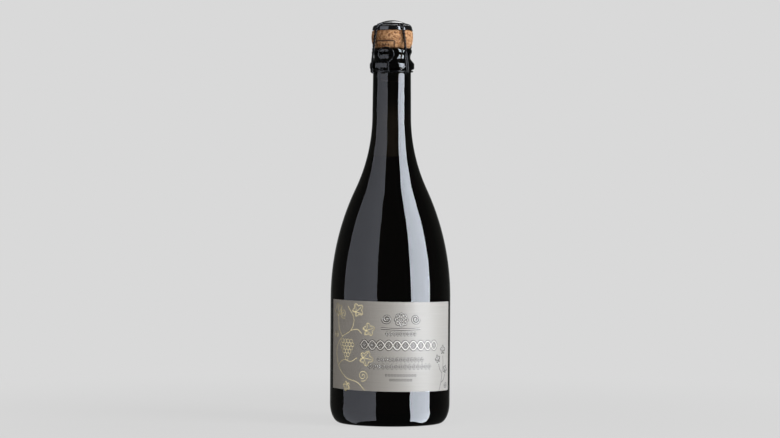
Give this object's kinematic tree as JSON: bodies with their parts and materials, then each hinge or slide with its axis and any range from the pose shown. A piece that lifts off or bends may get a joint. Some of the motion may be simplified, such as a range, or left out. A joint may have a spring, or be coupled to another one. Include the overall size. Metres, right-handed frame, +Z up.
{
  "type": "sparkling wine bottle",
  "caption": "Dark glass bottle with sloping shoulders, punt, wrap-round label, mushroom cork, wire cage with domed cap and a folding pull loop.",
  "frame": {"origin": "on the bottle's axis, in the plane of the ring that it stands on", "axes": "+Z up along the bottle's axis, -Y towards the front with the label and the pull loop, +X to the right as seen from the front"},
  "size_m": [0.09, 0.0904, 0.3022],
  "materials": {
    "dark_glass": "polished",
    "wine": "gloss",
    "label_paper": "satin",
    "granulated_cork": "matte",
    "solid_cork": "matte",
    "lacquered_tinplate": "gloss",
    "lacquered_wire": "gloss"
  },
  "bodies": {
    "bottle": {"glass_bottle": "dark_glass", "wine": "wine", "front_label": "label_paper"},
    "cork": {"cork_body": "granulated_cork", "cork_disc_upper": "solid_cork", "cork_disc_lower": "solid_cork"},
    "cage": {"cage_cap": "lacquered_tinplate", "cage_top_ring": "lacquered_wire", "leg_front_left": "lacquered_wire", "leg_front_right": "lacquered_wire", "leg_back_right": "lacquered_wire", "leg_back_left": "lacquered_wire", "cage_belt": "lacquered_wire"},
    "tie": {"tie_root": "lacquered_wire"},
    "loop": {"pull_loop": "lacquered_wire"}
  },
  "joints": [
    {"name": "cork_pull", "type": "slide", "parent": "bottle", "child": "cork", "axis": [0, 0, 1], "range_m": [0, 0.035]},
    {"name": "cage_lift", "type": "slide", "parent": "cork", "child": "cage", "axis": [0, 0, 1], "range_m": [0, 0.045], "deforming": ["leg_front_left", "leg_front_right", "leg_back_right", "leg_back_left", "cage_belt"]},
    {"name": "tie_twist", "type": "hinge", "parent": "cage", "child": "tie", "pos_m": [-0.00291, -0.01795, 0.2637], "axis": [-0.1599, -0.9871, 0], "range_deg": [0, 1080], "deforming": ["tie_root"]},
    {"name": "loop_fold", "type": "hinge", "parent": "tie", "child": "loop", "pos_m": [-0.00291, -0.01795, 0.2637], "axis": [0.9871, -0.1599, 0], "range_deg": [0, 120]}
  ]
}
